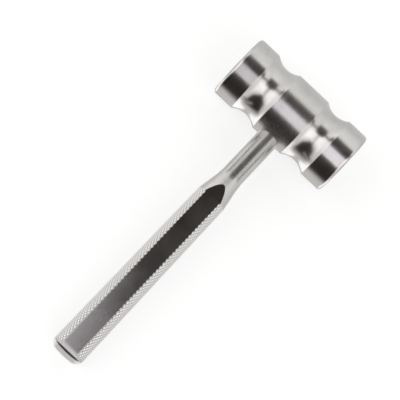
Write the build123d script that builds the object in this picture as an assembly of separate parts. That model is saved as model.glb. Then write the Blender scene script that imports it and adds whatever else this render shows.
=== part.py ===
from build123d import *
from math import asin, atan2, ceil, cos, degrees, hypot, pi, radians, sin, sqrt, tan
import os

# An all-steel surgical mallet, in millimetres.
# The head is one turned piece and the handle is another.
# The handle's spigot sits in a blind bore in the head.
# Both are modelled about the head's centre, with the head along X and the handle along -Y.
# At the end they are laid down as the mallet rests: on the two end bands of the head and on the butt.

# Head
head_diameter = 40.0
head_length = 82.0
middle_band_diameter = 39.6
middle_band_width = 21.7
groove_width = 16.2
groove_radius = 12.8
face_corner_radius = 2.0
groove_edge_radius = 0.4

# Joint between the head and the handle
spigot_diameter = 10.0
spigot_length = 22.0
spigot_chamfer = 1.0
shoulder_reach = 13.0
fit_clearance = 0.05
bore_end_clearance = 1.0

# Handle, with its stations measured from the head's axis
neck_diameter = 13.4
flare_start = 50.4
flare_radius = 25.0
flare_angle = 9.5
grip_start_diameter = 18.8
grip_end_diameter = 20.2
handle_reach = 187.0

# Knurl: pyramids between two families of crossing grooves
knurl_count_around = 32
knurl_length_pitch = 2.66
knurl_depth = 0.45
knurl_end_margin = 2.6

# Ground flats on the front and the back of the grip
flat_half_thickness = 7.47
flat_slope_angle = 0.45
flat_runout_angle = 2.5
butt_roll_length = 4.3
butt_roll_drop = 0.75

# Butt, seen from the front
butt_dome_radius = 45.0
butt_corner_radius = 4.8
butt_side_margin = 0.15
butt_edge_radius = 0.7


def half_head_outline():
    """Radius of the turned head along its axis, from the middle to one striking face, as a sketch."""
    head_radius = head_diameter / 2
    middle_radius = middle_band_diameter / 2
    groove_inner = middle_band_width / 2
    groove_outer = groove_inner + groove_width
    face = head_length / 2
    with BuildSketch(Plane.XY) as outline:
        with BuildLine():
            Line((0, 0), (0, middle_radius))
            Line((0, middle_radius), (groove_inner, middle_radius))
            RadiusArc((groove_inner, middle_radius), (groove_outer, head_radius), -groove_radius)
            Line((groove_outer, head_radius), (face, head_radius))
            Line((face, head_radius), (face, 0))
            Line((face, 0), (0, 0))
        make_face()
        corners = outline.vertices()
        face_corner = corners.sort_by_distance((face, head_radius))[0]
        fillet(face_corner, face_corner_radius)
        corners = outline.vertices()
        inner_edge = corners.sort_by_distance((groove_inner, middle_radius))[0]
        outer_edge = corners.sort_by_distance((groove_outer, head_radius))[0]
        fillet([inner_edge, outer_edge], groove_edge_radius)
    return outline.sketch


def bore():
    """The stepped blind bore, open towards the handle."""
    bore_radius = spigot_diameter / 2 + fit_clearance
    seat_radius = neck_diameter / 2 + fit_clearance
    bore_end = spigot_length - shoulder_reach + bore_end_clearance
    with BuildSketch(Plane.XY) as section:
        with BuildLine():
            Polyline(
                (0, bore_end),
                (bore_radius, bore_end),
                (bore_radius, -shoulder_reach),
                (seat_radius, -shoulder_reach),
                (seat_radius, -head_diameter),
                (0, -head_diameter),
                close=True,
            )
        make_face()
    return revolve(section.sketch, Axis.Y)


def make_head():
    half = revolve(half_head_outline(), Axis.X)
    return half + mirror(half, Plane.YZ) - bore()


def grip_start():
    """Distance from the head's axis at which the flare reaches the grip's diameter."""
    slope = radians(flare_angle)
    arc_rise = flare_radius * (1 - cos(slope))
    cone_rise = (grip_start_diameter - neck_diameter) / 2 - arc_rise
    return flare_start + flare_radius * sin(slope) + cone_rise / tan(slope)


def grip_radius(station):
    """Radius of the tapered grip, at a distance from the head's axis."""
    share = (station - grip_start()) / (handle_reach - grip_start())
    return (grip_start_diameter + (grip_end_diameter - grip_start_diameter) * share) / 2


def turned_neck():
    """The turned length from the spigot to the start of the grip: spigot, shoulder, neck and flare."""
    neck_radius = neck_diameter / 2
    spigot_radius = spigot_diameter / 2
    spigot_end = spigot_length - shoulder_reach
    slope = radians(flare_angle)
    arc_end_radius = neck_radius + flare_radius * (1 - cos(slope))
    arc_end = flare_start + flare_radius * sin(slope)
    with BuildSketch(Plane.XY) as section:
        with BuildLine():
            Polyline(
                (0, spigot_end),
                (spigot_radius - spigot_chamfer, spigot_end),
                (spigot_radius, spigot_end - spigot_chamfer),
                (spigot_radius, -shoulder_reach),
                (neck_radius, -shoulder_reach),
                (neck_radius, -flare_start),
            )
            RadiusArc((neck_radius, -flare_start), (arc_end_radius, -arc_end), flare_radius)
            Polyline(
                (arc_end_radius, -arc_end),
                (grip_start_diameter / 2, -grip_start()),
                (0, -grip_start()),
                (0, spigot_end),
            )
        make_face()
    return revolve(section.sketch, Axis.Y)


def turned_butt(start):
    """The last plain length of the tapered grip, past the knurl."""
    with BuildSketch(Plane.XY) as section:
        with BuildLine():
            Polyline(
                (0, -start),
                (grip_radius(start), -start),
                (grip_radius(handle_reach), -handle_reach),
                (0, -handle_reach),
                close=True,
            )
        make_face()
    return revolve(section.sketch, Axis.Y)


def flat_height(station):
    """Distance of a ground flat from the handle's axis, at a distance from the head's axis."""
    return flat_half_thickness + (station - grip_start()) * tan(radians(flat_slope_angle))


def knurl_rows():
    """Half pitches of the knurl along the grip."""
    return round(2 * (handle_reach - knurl_end_margin - grip_start()) / knurl_length_pitch)


def knurl_columns():
    """Half pitches of the knurl round the grip, from the middle of a side to past the flats."""
    stations = (grip_start(), handle_reach)
    sines = [flat_height(station) / (grip_radius(station) - knurl_depth) for station in stations]
    edge_angle = asin(min(max(sines), 1))
    return min(ceil(edge_angle * knurl_count_around / pi), knurl_count_around // 2 - 1)


def is_tip(row, column):
    """Whether a point of the knurl is the tip of a pyramid. At the others, two grooves cross."""
    return (row + column) % 2 == 0


def knurl_point(side, row, column):
    """A point of the knurl, by its side of the handle, its row along it and its column round it."""
    length = handle_reach - knurl_end_margin - grip_start()
    station = grip_start() + length * row / knurl_rows()
    stands_out = is_tip(row, column) and abs(column) < knurl_columns()
    radius = grip_radius(station) - (0 if stands_out else knurl_depth)
    turn = side + pi * column / knurl_count_around
    return Vector(radius * cos(turn), -station, radius * sin(turn))


def knurled_side(side):
    """The facets on one side: each square of four points is folded along the groove that crosses it."""
    facets = []
    for row in range(knurl_rows()):
        for column in range(-knurl_columns(), knurl_columns()):
            square = [(row, column), (row + 1, column), (row + 1, column + 1), (row, column + 1)]
            if is_tip(row, column):
                square = square[1:] + square[:1]
            points = [knurl_point(side, *corner) for corner in square]
            facets.append(Face(Wire.make_polygon(points[:3])))
            facets.append(Face(Wire.make_polygon([points[2], points[3], points[0]])))
    return facets


def knurled_length():
    """The knurled grip. Plain strips join its two sides where the flats are ground afterwards."""
    rows = range(knurl_rows() + 1)
    columns = range(-knurl_columns(), knurl_columns() + 1)
    facets = knurled_side(0) + knurled_side(pi)
    for near_side, far_side in ((0, pi), (pi, 0)):
        near_rim = [knurl_point(near_side, row, columns[-1]) for row in rows]
        far_rim = [knurl_point(far_side, row, columns[0]) for row in rows]
        facets.append(Face(Wire.make_polygon(near_rim + far_rim[::-1])))
    for row in (rows[0], rows[-1]):
        ring = [knurl_point(side, row, column) for side in (0, pi) for column in columns]
        facets.append(Face(Wire.make_polygon(ring)))
    return Solid(Shell(facets))


def side_profile():
    """The handle seen from its side: two flats that run out up the flare and roll over at the butt."""
    roll_start = handle_reach - butt_roll_length
    roll_height = flat_height(roll_start)
    end_height = flat_height(handle_reach) - butt_roll_drop
    runout_rise = (grip_start() + spigot_length) * tan(radians(flat_runout_angle))
    slope = radians(flat_slope_angle)
    with BuildSketch(Plane.YZ) as profile:
        with BuildLine():
            Polyline(
                (spigot_length, 0),
                (spigot_length, flat_half_thickness + runout_rise),
                (-grip_start(), flat_half_thickness),
                (-roll_start, roll_height),
            )
            along_flat = (-cos(slope), sin(slope))
            TangentArc((-roll_start, roll_height), (-handle_reach, end_height), tangent=along_flat)
            Polyline((-handle_reach, end_height), (-handle_reach, 0), (spigot_length, 0))
        make_face()
        mirror(about=Plane.XZ)
    return profile.sketch


def front_profile():
    """The handle seen from its front: straight sides, and a domed butt with rounded corners."""
    half_width = grip_end_diameter / 2 + butt_side_margin
    dome_drop = butt_dome_radius - sqrt(butt_dome_radius**2 - half_width**2)
    corner = (half_width, dome_drop - handle_reach)
    other_corner = (-half_width, dome_drop - handle_reach)
    with BuildSketch(Plane.XY) as profile:
        with BuildLine():
            Polyline(other_corner, (-half_width, spigot_length), (half_width, spigot_length), corner)
            RadiusArc(corner, other_corner, butt_dome_radius)
        make_face()
        fillet(profile.vertices().group_by(Axis.Y)[0], butt_corner_radius)
    return profile.sketch


def ground_shape():
    """What the grinding leaves: the two profiles crossed, with soft rims on the flats and the butt."""
    reach = grip_end_diameter
    crossed = extrude(side_profile(), reach, both=True) & extrude(front_profile(), reach, both=True)
    rims = crossed.edges().filter_by(lambda edge: abs(edge.center().Z) > flat_half_thickness / 2)
    rims = rims.filter_by(lambda edge: edge.center().Y < -grip_start())
    return fillet(rims.filter_by(Axis.X, reverse=True), butt_edge_radius)


def make_handle():
    """The turned and knurled bar, ground to its flats and its butt."""
    ground = ground_shape()
    butt = turned_butt(handle_reach - knurl_end_margin)
    return (turned_neck() & ground) + (knurled_length() & ground) + (butt & ground)


def resting_tilt():
    """Angle by which the handle slopes down, so that the roll-over at the butt touches the floor."""
    slope = radians(flat_slope_angle)
    roll_start = handle_reach - butt_roll_length
    depth = butt_roll_drop * cos(slope)
    length = butt_roll_length / cos(slope) - butt_roll_drop * sin(slope)
    roll_radius = (length**2 + depth**2) / (2 * depth)
    centre_station = roll_start + roll_radius * sin(slope)
    centre_height = flat_height(roll_start) - roll_radius * cos(slope)
    centre_reach = hypot(centre_station, centre_height)
    drop = head_diameter / 2 - roll_radius
    return degrees(asin(drop / centre_reach) - atan2(centre_height, centre_station))


os.makedirs("parts", exist_ok=True)
pieces = {"head": make_head(), "handle": make_handle()}
laid_down = {name: Rot(X=resting_tilt()) * piece for name, piece in pieces.items()}
box = Compound(list(laid_down.values())).bounding_box()
to_origin = Pos(-box.center().X, -box.center().Y, -box.min.Z)
for name, piece in laid_down.items():
    placed = to_origin * piece
    placed.label = name
    export_step(placed, f"parts/{name}.step")
    print(name, "volume", round(placed.volume), "mm3")
print("tilt", round(resting_tilt(), 3), "degrees, box", box.size)
print("head centre", to_origin.position)
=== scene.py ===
# %% [markdown]
# A surgical mallet, dressed for its portrait. The real thing is two pieces of solid stainless steel:
# a turned head, and a handle with a smooth neck, a knurled grip and a flat ground on its front and back.
# The solids come in ready made, in metres, with every ridge of the knurl already cut in them.
# Nothing here moves or resizes them, so the dressed mallet can't drift away from its solids.
# What is left to make is the steel itself, the studio and the camera.

# %% Load the mallet
import math

import bpy
from mathutils import Matrix, Vector


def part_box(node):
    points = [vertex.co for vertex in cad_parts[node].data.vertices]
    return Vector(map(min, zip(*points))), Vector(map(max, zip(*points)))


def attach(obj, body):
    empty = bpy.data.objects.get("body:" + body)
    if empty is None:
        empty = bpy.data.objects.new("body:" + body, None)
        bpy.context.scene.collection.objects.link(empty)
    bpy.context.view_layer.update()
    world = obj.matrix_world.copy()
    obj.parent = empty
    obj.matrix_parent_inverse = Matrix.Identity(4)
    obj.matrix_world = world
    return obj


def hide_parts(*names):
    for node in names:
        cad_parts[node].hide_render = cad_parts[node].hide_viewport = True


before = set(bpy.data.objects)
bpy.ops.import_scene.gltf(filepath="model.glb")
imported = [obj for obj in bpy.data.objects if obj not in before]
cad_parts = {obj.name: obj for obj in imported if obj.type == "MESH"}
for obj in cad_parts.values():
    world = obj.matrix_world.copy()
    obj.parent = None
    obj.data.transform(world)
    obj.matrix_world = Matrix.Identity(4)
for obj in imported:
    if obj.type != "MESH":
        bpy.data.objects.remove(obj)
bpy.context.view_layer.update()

# %% [markdown]
# Everything that follows is measured from the mallet's own lines, so they are found first.
# The head is a cylinder that lies on the floor, so its centre is half its height above the floor.
# The handle leaves it at right angles and slopes down until the butt touches the floor.
# Three directions describe the mallet: along the head, down the handle, and out of the ground flat.

# %% The mallet's own directions
HANDLE_SLOPE = math.radians(3.646)

head_low, head_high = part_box("head")
head_centre = (Vector(head_low) + Vector(head_high)) / 2
head_radius = (head_high[2] - head_low[2]) / 2
along_head = Vector((1, 0, 0))
down_handle = Vector((0, -math.cos(HANDLE_SLOPE), -math.sin(HANDLE_SLOPE)))
out_of_flat = Vector((0, -math.sin(HANDLE_SLOPE), math.cos(HANDLE_SLOPE)))
print("head centre:", tuple(head_centre), "radius:", round(head_radius, 5))

# %% [markdown]
# The photograph looks down on the mallet from about a metre away. The camera leans towards the butt,
# so that the end of the handle shows, and it is rolled so that the handle runs to the lower left.
# It could be turned by trial, but the mallet's own directions give the picture's right and up exactly.

# %% Where the camera stands
CAMERA_LEAN = math.radians(16.0)
CAMERA_ROLL = math.radians(43.4)
HEAD_DISTANCE = 1.0
AIM_DOWN_HANDLE = 0.0728
AIM_ALONG_HEAD = -0.0040

aim = head_centre + down_handle * AIM_DOWN_HANDLE + along_head * AIM_ALONG_HEAD
to_camera = out_of_flat * math.cos(CAMERA_LEAN) + down_handle * math.sin(CAMERA_LEAN)
towards_head = out_of_flat * math.sin(CAMERA_LEAN) - down_handle * math.cos(CAMERA_LEAN)
image_right = along_head * math.cos(CAMERA_ROLL) + towards_head * math.sin(CAMERA_ROLL)
image_up = towards_head * math.cos(CAMERA_ROLL) - along_head * math.sin(CAMERA_ROLL)
camera_distance = HEAD_DISTANCE - AIM_DOWN_HANDLE * math.sin(CAMERA_LEAN)
print("camera stands at:", tuple(aim + to_camera * camera_distance))

# %% [markdown]
# A long lens is used, because a short one from close by would swell the head. Its length follows from
# one thing that can be measured: how many pixels the head's diameter takes up in the photograph.
# A camera looks down its own backward axis, so its turn has right, up and backward as its columns.

# %% Camera
IMAGE_SIDE = 400
SENSOR = 36.0
HEAD_DIAMETER_PIXELS = 70.9

camera_data = bpy.data.cameras.new("camera")
camera_data.sensor_width = SENSOR
head_on_sensor = HEAD_DIAMETER_PIXELS / IMAGE_SIDE * SENSOR
camera_data.lens = head_on_sensor * HEAD_DISTANCE / (2 * head_radius)
camera = bpy.data.objects.new("camera", camera_data)
turn = Matrix((image_right, image_up, to_camera)).transposed().to_4x4()
camera.matrix_world = Matrix.Translation(aim + to_camera * camera_distance) @ turn
bpy.context.scene.collection.objects.link(camera)
bpy.context.scene.camera = camera
print("lens in millimetres:", round(camera_data.lens, 1))

# %% [markdown]
# Every material and the world are small programs made of nodes, so a few helpers keep them readable.
# The first adds a node and fills its inputs, with a number or with another node's output.
# The others name the steps that come up again and again. Many of them make masks: a mask is one
# where something holds and zero elsewhere, and the product of two masks is one where both hold.

# %% Node helpers
def add_node(tree, kind, inputs, **options):
    """Add a node, set its options, and fill its inputs with numbers or with other nodes' outputs."""
    node = tree.nodes.new(kind)
    for name, value in options.items():
        setattr(node, name, value)
    for slot, value in inputs.items():
        if isinstance(value, bpy.types.NodeSocket):
            tree.links.new(value, node.inputs[slot])
        else:
            node.inputs[slot].default_value = value
    return node


def sum_of(tree, operation, first, second=0.0):
    inputs = {0: first, 1: second}
    return add_node(tree, "ShaderNodeMath", inputs, operation=operation).outputs[0]


def product(tree, first, *others):
    """Multiply any number of values, one after the other."""
    for other in others:
        first = sum_of(tree, "MULTIPLY", first, other)
    return first


def opposite(tree, mask):
    """Be one where the mask is zero, and zero where it is one."""
    return sum_of(tree, "SUBTRACT", 1.0, mask)


def mix_numbers(tree, share, first, second):
    inputs = {0: share, 2: first, 3: second}
    return add_node(tree, "ShaderNodeMix", inputs, data_type="FLOAT").outputs[0]


def mix_colours(tree, share, first, second):
    inputs = {0: share, 6: first, 7: second}
    return add_node(tree, "ShaderNodeMix", inputs, data_type="RGBA").outputs[2]


print("helpers for adding, multiplying and mixing in a node tree are ready")

# %% [markdown]
# A step from one value to another could be a hard comparison, but nothing in a studio or on worn steel
# has a hard edge. So every step here is a smooth one, and each names where it starts and where it ends.

# %% Soft steps
def soft_step(tree, value, low, high, start=0.0, end=1.0):
    """Go smoothly from start to end while the value goes from low to high."""
    inputs = {"Value": value, "From Min": low, "From Max": high, "To Min": start, "To Max": end}
    node = add_node(tree, "ShaderNodeMapRange", inputs, interpolation_type="SMOOTHSTEP")
    return node.outputs["Result"]


def over(tree, value, edge, blur):
    """Be one while the value is past the edge, and zero before it, with a soft edge."""
    return soft_step(tree, value, edge - blur, edge + blur)


def under(tree, value, edge, blur):
    """Be one while the value is before the edge, and zero past it, with a soft edge."""
    return soft_step(tree, value, edge - blur, edge + blur, 1.0, 0.0)


def band(tree, value, edges, blur):
    """Be one while the value is between two edges, and zero elsewhere."""
    return product(tree, over(tree, value, edges[0], blur), under(tree, value, edges[1], blur))


print("helpers for soft steps and bands are ready")

# %% [markdown]
# Bare steel has almost no colour of its own: it shows the room. So the room is made before the steel.
# It is a pale studio tent over a pale table. It could be built of sheets and lamps, but a thing as small
# as a mallet only asks how bright the room is in each direction, and the world's nodes can say that.
# Three measures of a direction are enough: how far it points sideways, along the head,
# how far it points to the butt, and how many degrees it leans that way from straight up.

# %% Directions in the tent
world = bpy.data.worlds.new("studio")
bpy.context.scene.world = world
world.use_nodes = True
tent = world.node_tree
direction = add_node(tent, "ShaderNodeTexCoord", {}).outputs["Generated"]
towards = add_node(tent, "ShaderNodeSeparateXYZ", {0: direction}).outputs
sideways = sum_of(tent, "ABSOLUTE", towards["X"])
to_butt = product(tent, towards["Y"], -1.0)
lean = product(tent, sum_of(tent, "ARCTAN2", to_butt, towards["Z"]), math.degrees(1))
print("nodes that measure a direction:", len(tent.nodes))

# %% [markdown]
# The plain light comes first. It changes gently from the table's brightness to the roof's.
# Low on both sides the tent glows a little more, as cloth does where a lamp stands behind it.
# That lifts the outer sides of the neck and the grip, and the slopes of the grooves. One side glows more
# than the other, because two lamps are never quite alike, and the glow fades out towards the butt.

# %% Table, roof and side glow
TABLE_LIGHT = 0.70
ROOF_LIGHT = 0.95
TABLE_TO_ROOF = (-0.1, 0.8)
SIDE_GLOW = (0.34, 0.14)
SIDE_TO_SIDE = (-0.9, 0.9)
GLOW_SIDEWAYS = (0.55, 0.9)
GLOW_UPWARDS = (-0.4, 0.1)
GLOW_FADES_TO_BUTT = (0.2, 0.6)

light = soft_step(tent, towards["Z"], *TABLE_TO_ROOF, TABLE_LIGHT, ROOF_LIGHT)
far_out = soft_step(tent, sideways, *GLOW_SIDEWAYS)
above_table = soft_step(tent, towards["Z"], *GLOW_UPWARDS)
glow = soft_step(tent, towards["X"], *SIDE_TO_SIDE, *SIDE_GLOW)
before_butt = soft_step(tent, to_butt, *GLOW_FADES_TO_BUTT, 1.0, 0.0)
side_glow = product(tent, far_out, above_table, glow, before_butt)
light = sum_of(tent, "ADD", light, side_glow)
print("tent: table", TABLE_LIGHT, "roof", ROOF_LIGHT, "glow of the sides", SIDE_GLOW)

# %% [markdown]
# The grooves of the head curve to both sides, so they show parts of the tent that the plain bands don't.
# In the photograph they are nearly white, so a brighter panel hangs on each side of the tent.
# The panels also light the strips of knurl, the rounded edges of the head and the rim of the butt.

# %% Side panels
SIDE_PANEL_LIGHT = 1.45
PANEL_TO_BUTT = (0.0, 0.6)
PANEL_TO_BUTT_BLUR = 0.1
PANEL_SIDEWAYS = (0.15, 0.8)
PANEL_SIDEWAYS_BLUR = 0.06

panel_length = band(tent, to_butt, PANEL_TO_BUTT, PANEL_TO_BUTT_BLUR)
panel_width = band(tent, sideways, PANEL_SIDEWAYS, PANEL_SIDEWAYS_BLUR)
side_panels = product(tent, panel_length, panel_width)
light = mix_numbers(tent, side_panels, light, SIDE_PANEL_LIGHT)
print("tent: side panels", SIDE_PANEL_LIGHT)

# %% [markdown]
# The thin dark lines come from where the tent's cloths meet. A seam on each side draws the fine
# dark line down each side of the neck. A slit runs across the roof, from side to side. It carries
# the upper dark band of the head into both grooves, and widens the dark stripe down the neck.

# %% Seams and slit
GAP_LIGHT = 0.026
SEAM_DEPTH = 1.0
SEAM_SIDEWAYS = (0.81, 0.93)
SEAM_SIDEWAYS_BLUR = 0.02
SEAM_TO_BUTT = (-0.38, -0.16)
SEAM_TO_BUTT_BLUR = 0.03
SEAM_UPWARDS = (0.0, 0.1)
SLIT_DEPTH = 0.95
SLIT_TO_BUTT = (-0.235, -0.105)
SLIT_TO_BUTT_BLUR = 0.025
SLIT_END = 0.9
SLIT_END_BLUR = 0.05

seam_width = band(tent, sideways, SEAM_SIDEWAYS, SEAM_SIDEWAYS_BLUR)
seam_length = band(tent, to_butt, SEAM_TO_BUTT, SEAM_TO_BUTT_BLUR)
seam_height = soft_step(tent, towards["Z"], *SEAM_UPWARDS)
seams = product(tent, seam_width, seam_length, seam_height)
light = mix_numbers(tent, product(tent, seams, SEAM_DEPTH), light, GAP_LIGHT)
slit_width = band(tent, to_butt, SLIT_TO_BUTT, SLIT_TO_BUTT_BLUR)
slit = product(tent, slit_width, under(tent, sideways, SLIT_END, SLIT_END_BLUR))
light = mix_numbers(tent, product(tent, slit, SLIT_DEPTH), light, GAP_LIGHT)
print("tent: seams and slit", GAP_LIGHT)

# %% [markdown]
# The upper dark band on the head is a gap in the middle of the tent's roof, up to where the soft lamp
# hangs. Its far end glows faintly. The gap goes on behind the lamp, because a lamp's light is added
# to what the world shows behind it, but there it is only about as wide as the lamp itself.

# %% Gap in the roof
BACK_GAP_LEAN = (-30.5, 38.0)
BACK_GAP_LEAN_BLUR = 3.5
BACK_GAP_SIDEWAYS = 0.43
BEHIND_LAMP = 0.17
LAMP_STARTS = (1.0, 8.0)
BACK_GAP_SIDE_BLUR = 0.05
BACK_GLOW = 0.08
BACK_GLOW_LEAN = (-22.0, -8.0)

back_gap_width = soft_step(tent, lean, *LAMP_STARTS, BACK_GAP_SIDEWAYS, BEHIND_LAMP)
past_back_edge = sum_of(tent, "SUBTRACT", sideways, back_gap_width)
back_gap_length = band(tent, lean, BACK_GAP_LEAN, BACK_GAP_LEAN_BLUR)
back_gap = product(tent, back_gap_length, under(tent, past_back_edge, 0.0, BACK_GAP_SIDE_BLUR))
back_dark = soft_step(tent, lean, *BACK_GLOW_LEAN, BACK_GLOW, GAP_LIGHT)
light = mix_numbers(tent, back_gap, light, back_dark)
print("tent: gap in the roof", GAP_LIGHT, "and at its far end", BACK_GLOW)

# %% [markdown]
# Past the lamp the front of the tent is open towards the butt, with a dark room outside it.
# That opening is the lower and broader dark band of the head. It gets wider on the way down,
# which gives the dark shape at the foot of each groove.

# %% Gap in the front
FRONT_GAP_LEAN = (36.0, 119.0)
FRONT_GAP_LEAN_BLUR = 14.0
FRONT_GAP_OPENS = (40.0, 72.0)
FRONT_GAP_SIDEWAYS = (0.15, 0.58)
FRONT_GAP_SIDE_BLUR = 0.07

front_gap_width = soft_step(tent, lean, *FRONT_GAP_OPENS, *FRONT_GAP_SIDEWAYS)
past_front_edge = sum_of(tent, "SUBTRACT", sideways, front_gap_width)
front_gap_length = band(tent, lean, FRONT_GAP_LEAN, FRONT_GAP_LEAN_BLUR)
front_gap = product(tent, front_gap_length, under(tent, past_front_edge, 0.0, FRONT_GAP_SIDE_BLUR))
seen_in_steel = mix_numbers(tent, front_gap, light, GAP_LIGHT)
print("tent: gap in the front, degrees from straight up:", FRONT_GAP_LEAN)

# %% [markdown]
# The cloth is very nearly white, and the little light that comes out of the gaps is warmer.
# The camera itself has to see plain white behind the mallet, whatever the steel sees.
# A Light Path node tells the two apart, so no more light is needed to make the picture white.

# %% Colour of the tent
CLOTH_COLOUR = (1.0, 0.99, 0.975, 1)
GAP_COLOUR = (1.0, 0.86, 0.77, 1)
WHITE = (1, 1, 1, 1)

any_gap = sum_of(tent, "MAXIMUM", back_gap, front_gap)
tent_colour = mix_colours(tent, any_gap, CLOTH_COLOUR, GAP_COLOUR)
camera_ray = add_node(tent, "ShaderNodeLightPath", {}).outputs["Is Camera Ray"]
background = tent.nodes["Background"]
tent.links.new(mix_colours(tent, camera_ray, tent_colour, WHITE), background.inputs["Color"])
tent.links.new(mix_numbers(tent, camera_ray, seen_in_steel, 1.0), background.inputs["Strength"])
bpy.context.scene.view_settings.view_transform = "Standard"
print("nodes in the tent:", len(tent.nodes))

# %% [markdown]
# The soft lamp draws the pale band between the head's dark ones. It could be one more patch of the tent,
# but the tent is infinitely far away, and a far patch would light the whole flat of the handle alike.
# On the real flat the end by the neck is dark, and near the butt it starts to catch the lamp's edge.
# So this lamp is a real one at a real height above the table.
# It is brighter towards one end of the head than towards the other, as softboxes are.

# %% Soft lamp
LAMP_HEIGHT = 0.85
LAMP_NEAR = 0.098
LAMP_FAR = 0.793
LAMP_WIDTH = 0.32
LAMP_BRIGHTNESS = 0.95
LAMP_COLOUR = (0.97, 0.93, 1.0)
LAMP_END_TO_END = (0.5, 1.38)

lamp_data = bpy.data.lights.new("soft_lamp", "AREA")
lamp_data.shape = "RECTANGLE"
lamp_data.size = LAMP_WIDTH
lamp_data.size_y = LAMP_FAR - LAMP_NEAR
lamp_data.energy = LAMP_BRIGHTNESS * math.pi * lamp_data.size * lamp_data.size_y
lamp_data.color = LAMP_COLOUR
lamp_data.use_nodes = True
lamp_tree = lamp_data.node_tree
on_lamp = add_node(lamp_tree, "ShaderNodeNewGeometry", {}).outputs["Position"]
across_lamp = add_node(lamp_tree, "ShaderNodeSeparateXYZ", {0: on_lamp}).outputs["X"]
brighter = soft_step(lamp_tree, across_lamp, -LAMP_WIDTH / 2, LAMP_WIDTH / 2, *LAMP_END_TO_END)
lamp_tree.links.new(brighter, lamp_tree.nodes["Emission"].inputs["Strength"])
lamp = bpy.data.objects.new("soft_lamp", lamp_data)
lamp.location = (0, head_centre.y - (LAMP_NEAR + LAMP_FAR) / 2, LAMP_HEIGHT)
lamp.visible_camera = False
bpy.context.scene.collection.objects.link(lamp)
print("soft lamp in watts:", round(lamp_data.energy, 2))

# %% [markdown]
# The mallet lies on a plain white sheet, a single large face at floor height.
# The steel doesn't look for it: the tent's pale lower half already stands for the table.

# %% Sheet
SHEET_HALF_SIDE = 3.0

corners = []
for x, y in ((-1, -1), (1, -1), (1, 1), (-1, 1)):
    corners.append((x * SHEET_HALF_SIDE, y * SHEET_HALF_SIDE, 0))
sheet_mesh = bpy.data.meshes.new("sheet")
sheet_mesh.from_pydata(corners, [], [(0, 1, 2, 3)])
sheet = bpy.data.objects.new("sheet", sheet_mesh)
sheet.visible_glossy = False
bpy.context.scene.collection.objects.link(sheet)
print("sheet in metres:", tuple(sheet.dimensions))

# %% [markdown]
# The camera has to see the sheet as white, with a faint soft shadow. Brighter lamps would make it white,
# but they would wash out the steel too. So the sheet glows a little for the camera alone,
# and the rest of its brightness is plain paper, which takes the shadow.

# %% White of the sheet
SHEET_COLOUR = (0.8, 0.8, 0.8, 1)
SHEET_GLOW = 0.68
SHADOW_SHARE = 0.55

paper = bpy.data.materials.new("white_sheet")
paper.use_nodes = True
tree = paper.node_tree
tree.nodes.clear()
plain = add_node(tree, "ShaderNodeBsdfDiffuse", {"Color": SHEET_COLOUR}).outputs[0]
faint = add_node(tree, "ShaderNodeMixShader", {0: SHADOW_SHARE, 2: plain}).outputs[0]
sheet_glow = add_node(tree, "ShaderNodeEmission", {"Strength": SHEET_GLOW}).outputs[0]
bright = add_node(tree, "ShaderNodeAddShader", {0: faint, 1: sheet_glow}).outputs[0]
camera_ray = add_node(tree, "ShaderNodeLightPath", {}).outputs["Is Camera Ray"]
seen = add_node(tree, "ShaderNodeMixShader", {0: camera_ray, 1: plain, 2: bright}).outputs[0]
add_node(tree, "ShaderNodeOutputMaterial", {"Surface": seen})
sheet_mesh.materials.append(paper)
print("sheet: glow", SHEET_GLOW, "and share of plain paper", SHADOW_SHARE)

# %% [markdown]
# The handle's neck widens into the grip through a short hollow curve. Its solid is meshed with normals
# that run the wrong way there, which would put a dark patch in the polish. So a copy of the handle
# stands in, with the same corners and faces. In that curve each normal is worked out from the curve's
# own radius: it tips back towards the head by the angle that the curve has turned through so far.

# %% Handle with true normals in the flare
FLARE_START = 0.0504
FLARE_RADIUS = 0.025
FLARE_ANGLE = math.radians(9.5)
FLARE_MARGIN = 0.00001

solid_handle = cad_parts["handle"]
handle_mesh = solid_handle.data.copy()
handle_mesh.transform(solid_handle.matrix_world)
flare_length = FLARE_RADIUS * math.sin(FLARE_ANGLE)
normals = []
in_flare = 0
for corner in handle_mesh.loops:
    place = handle_mesh.vertices[corner.vertex_index].co - head_centre
    station = place.dot(down_handle)
    normal = corner.normal.copy()
    past_start = station - FLARE_START
    if -FLARE_MARGIN < past_start < flare_length + FLARE_MARGIN:
        swing = math.asin(max(past_start, 0) / FLARE_RADIUS)
        outward = (place - down_handle * station).normalized()
        normal = outward * math.cos(swing) - down_handle * math.sin(swing)
        in_flare += 1
    normals.append(normal)
handle_mesh.normals_split_custom_set(normals)
handle = bpy.data.objects.new("handle_dressed", handle_mesh)
bpy.context.scene.collection.objects.link(handle)
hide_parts("handle")
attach(handle, "root")
print("normals worked out in the flare:", in_flare, "of", len(normals))

# %% [markdown]
# Both pieces are the same stainless steel, so both materials start from the same plain metal.
# What differs is the finish. A finish could be painted as a picture, but noise in the piece's own
# coordinates never blurs and needs no unwrapping. Stretched noise makes the fine lines of turning
# and polishing, and round noise makes smudges. All of them change the roughness and the tone a little.

# %% Polished steel
STEEL_COLOUR = (0.70, 0.69, 0.68, 1)
WORN_COLOUR = (0.60, 0.59, 0.585, 1)
SMUDGE_RANGE = (0.35, 0.65)
LINE_RANGE = (0.3, 0.7)
WORN_RANGE = (0.3, 0.8)


def noise(tree, place, scale, detail, roughness):
    inputs = {"Vector": place, "Scale": scale, "Detail": detail, "Roughness": roughness}
    return add_node(tree, "ShaderNodeTexNoise", inputs).outputs[0]


def stretched(tree, place, scale):
    """The place on the piece, with each direction scaled by itself."""
    return add_node(tree, "ShaderNodeMapping", {"Vector": place, "Scale": scale}).outputs[0]


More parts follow.
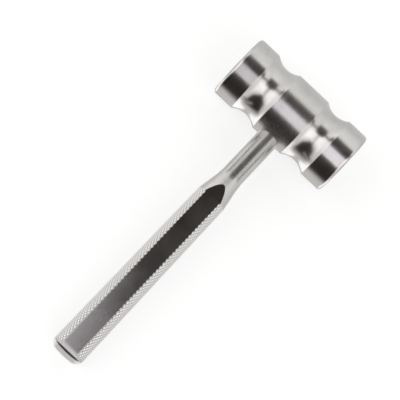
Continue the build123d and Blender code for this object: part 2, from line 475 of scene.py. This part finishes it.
def new_steel(name):
    """A polished steel with its own node tree, its shader and the place on the piece."""
    steel = bpy.data.materials.new(name)
    steel.use_nodes = True
    shader = steel.node_tree.nodes["Principled BSDF"]
    shader.inputs["Metallic"].default_value = 1.0
    place = add_node(steel.node_tree, "ShaderNodeTexCoord", {}).outputs["Object"]
    return steel, steel.node_tree, shader, place


def bumped(tree, shader, height, distance):
    """Tip the shader's normal by a small relief, and return the node that does it."""
    bump = add_node(tree, "ShaderNodeBump", {"Height": height, "Distance": distance})
    tree.links.new(bump.outputs[0], shader.inputs["Normal"])
    return bump


print("steel colour:", STEEL_COLOUR[:3], "worn to", WORN_COLOUR[:3])

# %% [markdown]
# The head was turned on a lathe and then polished. The wheel leaves the grooves and the ends
# a little glossier than the middle band. The distance along the head tells these places apart.

# %% Polish of the head
END_ROUGHNESS = 0.22
MIDDLE_ROUGHNESS = 0.25
GROOVE_ROUGHNESS = 0.22
MIDDLE_EDGE = 0.0109
MIDDLE_EDGE_BLEND = 0.0002
GROOVE_CENTRE = 0.01895
GROOVE_HALF_WIDTH = 0.0081
GROOVE_BLEND_FROM = 0.96

head_steel, tree, shader, place = new_steel("head_steel")
head_x = add_node(tree, "ShaderNodeSeparateXYZ", {0: place}).outputs["X"]
distance_along = sum_of(tree, "ABSOLUTE", head_x)
groove_offset = sum_of(tree, "SUBTRACT", distance_along, GROOVE_CENTRE)
from_groove = sum_of(tree, "ABSOLUTE", groove_offset)
groove_edge = (GROOVE_HALF_WIDTH * GROOVE_BLEND_FROM, GROOVE_HALF_WIDTH)
in_groove = soft_step(tree, from_groove, *groove_edge, 1.0, 0.0)
middle_edge = (MIDDLE_EDGE - MIDDLE_EDGE_BLEND, MIDDLE_EDGE)
in_middle = soft_step(tree, distance_along, *middle_edge, 1.0, 0.0)
even = mix_numbers(tree, in_middle, END_ROUGHNESS, MIDDLE_ROUGHNESS)
even = mix_numbers(tree, in_groove, even, GROOVE_ROUGHNESS)
print("head steel: ends", END_ROUGHNESS, "middle", MIDDLE_ROUGHNESS, "grooves", GROOVE_ROUGHNESS)

# %% [markdown]
# The lathe also leaves very fine rings round the head. On a ring only the distance along the head
# matters, so they are noise that is stretched round it. Handling leaves faint smudges between them.
# Both change the roughness, and the rings are also a relief of a few thousandths of a millimetre.

# %% Rings and smudges of the head
RING_SCALE = 4200.0
RING_DETAIL = (3.0, 0.6)
RING_STRETCH = (1.0, 0.02, 0.02)
RING_HEIGHT = 0.000004
RING_ROUGHNESS = (-0.015, 0.015)
HEAD_SMUDGE_SCALE = 70.0
SMUDGE_DETAIL = (4.0, 0.6)
HEAD_SMUDGE_ROUGHNESS = (-0.02, 0.03)

rings = noise(tree, stretched(tree, place, RING_STRETCH), RING_SCALE, *RING_DETAIL)
smudges = noise(tree, place, HEAD_SMUDGE_SCALE, *SMUDGE_DETAIL)
ring_part = soft_step(tree, rings, *LINE_RANGE, *RING_ROUGHNESS)
smudge_part = soft_step(tree, smudges, *SMUDGE_RANGE, *HEAD_SMUDGE_ROUGHNESS)
uneven = sum_of(tree, "ADD", even, sum_of(tree, "ADD", ring_part, smudge_part))
tree.links.new(uneven, shader.inputs["Roughness"])
worn = soft_step(tree, smudges, *WORN_RANGE)
tree.links.new(mix_colours(tree, worn, STEEL_COLOUR, WORN_COLOUR), shader.inputs["Base Color"])
bumped(tree, shader, rings, RING_HEIGHT)
print("nodes in the head's steel:", len(tree.nodes))

# %% [markdown]
# The handle is one piece of steel with four finishes, and each one starts where the shape changes.
# The neck is polished lengthwise, the knurl is cut and a little worn on its points, the flats are ground,
# and the butt is satin. It could be split into four pieces, but a real handle has no seams there.
# So one material asks where it is. A Mapping node turns the place on the piece into the handle's
# own measures: across it, along it from the head's axis, and out of the flat.
# A Mapping node can turn but not mirror, so the first row is turned round to make a true rotation.

# %% The handle's own measures
handle_steel, tree, shader, place = new_steel("handle_steel")
handle_turn = Matrix((-along_head, down_handle, out_of_flat))
handle_start = -(handle_turn @ head_centre)
inputs = {"Vector": place, "Location": handle_start, "Rotation": handle_turn.to_euler()}
on_handle = add_node(tree, "ShaderNodeMapping", inputs).outputs[0]
measures = add_node(tree, "ShaderNodeSeparateXYZ", {0: on_handle}).outputs
station = measures["Y"]
facing = add_node(tree, "ShaderNodeNewGeometry", {}).outputs["Normal"]
inputs = {0: facing, 1: out_of_flat}
tilt = add_node(tree, "ShaderNodeVectorMath", inputs, operation="DOT_PRODUCT").outputs["Value"]
turned_to_flat = sum_of(tree, "ABSOLUTE", tilt)
print("the handle's turn is a true rotation:", round(handle_turn.determinant(), 3) == 1.0)

# %% [markdown]
# Soft steps on those measures make one mask for each finish. A flat is wherever the surface
# faces straight out of it, past the point where the flat starts. The knurl and the butt are
# told apart by the distance along the handle, and neither covers the flats.

# %% Where each finish is
FLAT_START = 0.0592
FLAT_BLEND = 0.0006
FLAT_FACING = (0.93, 0.96)
GRIP_START = 0.0686
GRIP_START_BLUR = 0.0001
KNURL_END = 0.1844
KNURL_END_BLEND = 0.0002

level = soft_step(tree, turned_to_flat, *FLAT_FACING)
on_flat = product(tree, level, soft_step(tree, station, FLAT_START, FLAT_START + FLAT_BLEND))
off_flat = opposite(tree, on_flat)
past_knurl = soft_step(tree, station, KNURL_END, KNURL_END + KNURL_END_BLEND)
past_neck = over(tree, station, GRIP_START, GRIP_START_BLUR)
on_knurl = product(tree, past_neck, opposite(tree, past_knurl), off_flat)
on_butt = product(tree, past_knurl, off_flat)
print("knurl in metres from the head's axis:", GRIP_START, "to", KNURL_END)

# %% [markdown]
# On the knurl the points wear smooth and the cuts are rougher; the points get painted sheen, the cuts
# painted shade.
# The distance from the handle's axis tells a point from a cut, whatever the pattern is.
# The grip gets wider towards the butt, so the depth is taken from where a point would be.

# %% Cuts of the knurl
GRIP_RADIUS = (0.0094, 0.0101)
GRIP_END = 0.187
KNURL_DEPTH = 0.00045
CUT_STARTS = 0.45

across = product(tree, measures["X"], measures["X"])
outwards = product(tree, measures["Z"], measures["Z"])
radius = sum_of(tree, "SQRT", sum_of(tree, "ADD", across, outwards))
grip_start_radius, grip_end_radius = GRIP_RADIUS
inputs = {
    "Value": station,
    "From Min": GRIP_START,
    "From Max": GRIP_END,
    "To Min": grip_start_radius,
    "To Max": grip_end_radius,
}
point_radius = add_node(tree, "ShaderNodeMapRange", inputs).outputs["Result"]
depth = sum_of(tree, "SUBTRACT", point_radius, radius)
deep = soft_step(tree, depth, CUT_STARTS * KNURL_DEPTH, KNURL_DEPTH)
in_cut = product(tree, deep, on_knurl)
print("cuts start to get dull at a depth in mm of", round(CUT_STARTS * KNURL_DEPTH * 1000, 3))

# %% [markdown]
# Each finish has its own roughness. The flats came off the grinder glossy,
# and the hand has dulled them towards the butt, so theirs changes along the grip.
# Smudges and the lengthwise lines of polishing then make all of it a little uneven.

# %% Roughness of the handle
NECK_ROUGHNESS = 0.27
FLAT_ROUGHNESS = (0.15, 0.27)
FLAT_DULLS = (0.09, 0.18)
KNURL_ROUGHNESS = 0.26
CUT_ROUGHNESS = 0.4
BUTT_ROUGHNESS = 0.42
HANDLE_SMUDGE_SCALE = 60.0
HANDLE_SMUDGE_ROUGHNESS = (-0.015, 0.025)
LINE_SCALE = 5200.0
LINE_DETAIL = (3.0, 0.6)
LINE_STRETCH = (1.0, 0.03, 1.0)
LINE_ROUGHNESS = (-0.015, 0.02)

smudges = noise(tree, on_handle, HANDLE_SMUDGE_SCALE, *SMUDGE_DETAIL)
lines = noise(tree, stretched(tree, on_handle, LINE_STRETCH), LINE_SCALE, *LINE_DETAIL)
handled = soft_step(tree, station, *FLAT_DULLS, *FLAT_ROUGHNESS)
roughness = mix_numbers(tree, on_flat, NECK_ROUGHNESS, handled)
roughness = mix_numbers(tree, on_knurl, roughness, KNURL_ROUGHNESS)
roughness = mix_numbers(tree, on_butt, roughness, BUTT_ROUGHNESS)
roughness = mix_numbers(tree, in_cut, roughness, CUT_ROUGHNESS)
smudge_part = soft_step(tree, smudges, *SMUDGE_RANGE, *HANDLE_SMUDGE_ROUGHNESS)
line_part = soft_step(tree, lines, *LINE_RANGE, *LINE_ROUGHNESS)
uneven = sum_of(tree, "ADD", roughness, sum_of(tree, "ADD", smudge_part, line_part))
tree.links.new(uneven, shader.inputs["Roughness"])
print("handle steel: neck", NECK_ROUGHNESS, "flats", FLAT_ROUGHNESS, "butt", BUTT_ROUGHNESS)

# %% [markdown]
# The tones follow the same masks: painted sheen makes the knurl's points the brightest, painted shade its
# cuts the darkest.
# A thin dark line of painted shade also runs round the rim of the butt.
# It lies only where the surface still faces the flat's way, just before it turns over the end.

# %% Tone of the handle
FLAT_COLOUR = (0.60, 0.585, 0.58, 1)
KNURL_SHEEN_COLOUR = (0.88, 0.875, 0.87, 1)
CUT_SHADE_COLOUR = (0.42, 0.41, 0.40, 1)
RIM_SHADE_COLOUR = (0.07, 0.07, 0.075, 1)
RIM_START = 0.1857
RIM_BLUR = 0.00012
RIM_FACING = 0.45
RIM_FACING_BLUR = 0.04

worn = soft_step(tree, smudges, *WORN_RANGE)
tone = mix_colours(tree, worn, STEEL_COLOUR, WORN_COLOUR)
tone = mix_colours(tree, on_flat, tone, FLAT_COLOUR)
# Painted sheen: the points of the knurl get a lighter colour than the rest of the steel.
tone = mix_colours(tree, on_knurl, tone, KNURL_SHEEN_COLOUR)
# Painted shade: the cuts of the knurl get a darker colour, deeper cuts darker.
tone = mix_colours(tree, in_cut, tone, CUT_SHADE_COLOUR)
past_rim = over(tree, station, RIM_START, RIM_BLUR)
painted_rim_shade = product(tree, past_rim, over(tree, turned_to_flat, RIM_FACING, RIM_FACING_BLUR))
# Painted shade: a dark line round the rim of the butt, where the end turns over.
tone = mix_colours(tree, painted_rim_shade, tone, RIM_SHADE_COLOUR)
tree.links.new(tone, shader.inputs["Base Color"])
print("rim line starts at:", RIM_START)

# %% [markdown]
# The reliefs are far too small for the mesh. The polishing lines are a few thousandths of a millimetre,
# the grain of the satin butt is coarser, and the neck has shallow ridges along it that break up
# its reflections into streaks. They are added as heights in metres, so the bump's distance is one.

# %% Relief of the handle
LINE_HEIGHT = 0.000003
GRAIN_SCALE = 2600.0
GRAIN_DETAIL = (3.0, 0.7)
GRAIN_TO_LINE = 3.0
RIDGE_SCALE = 850.0
RIDGE_DETAIL = (2.0, 0.5)
RIDGE_STRETCH = (1.0, 0.02, 1.0)
RIDGE_HEIGHT = 0.00004
RIDGES_FADE_FROM = 0.066

grain = noise(tree, on_handle, GRAIN_SCALE, *GRAIN_DETAIL)
relief = mix_numbers(tree, on_butt, lines, product(tree, grain, GRAIN_TO_LINE))
relief = product(tree, relief, LINE_HEIGHT)
ridges = noise(tree, stretched(tree, on_handle, RIDGE_STRETCH), RIDGE_SCALE, *RIDGE_DETAIL)
before_grip = soft_step(tree, station, RIDGES_FADE_FROM, GRIP_START, 1.0, 0.0)
on_neck = product(tree, before_grip, off_flat)
ridges = product(tree, ridges, RIDGE_HEIGHT, on_neck)
bump = bumped(tree, shader, sum_of(tree, "ADD", relief, ridges), 1.0)
print("ridges of the neck in millimetres:", RIDGE_HEIGHT * 1000)

# %% [markdown]
# A long flat is never ground perfectly true. These are twisted by about three degrees from edge to edge,
# so that the lamp's reflection near the butt is brighter along one edge. A relief can't say that without
# tipping the flat sideways, so the normal itself leans down the handle, more and more across the flat.

# %% Twist of the flats
FLAT_TWIST = 4.5

twist = product(tree, measures["X"], FLAT_TWIST, on_flat)
inputs = {0: down_handle, "Scale": twist}
lean_over = add_node(tree, "ShaderNodeVectorMath", inputs, operation="SCALE").outputs[0]
inputs = {0: facing, 1: lean_over}
twisted = add_node(tree, "ShaderNodeVectorMath", inputs, operation="ADD").outputs[0]
twisted = add_node(tree, "ShaderNodeVectorMath", {0: twisted}, operation="NORMALIZE").outputs[0]
tree.links.new(twisted, bump.inputs["Normal"])
print("nodes in the handle's steel:", len(tree.nodes))

# %% [markdown]
# Both materials are ready, so each piece now gets its own in place of the plain one it came with.

# %% Put the steel on
for piece, steel in ((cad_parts["head"], head_steel), (handle, handle_steel)):
    piece.data.materials.clear()
    piece.data.materials.append(steel)
    print(piece.name, "wears", steel.name)
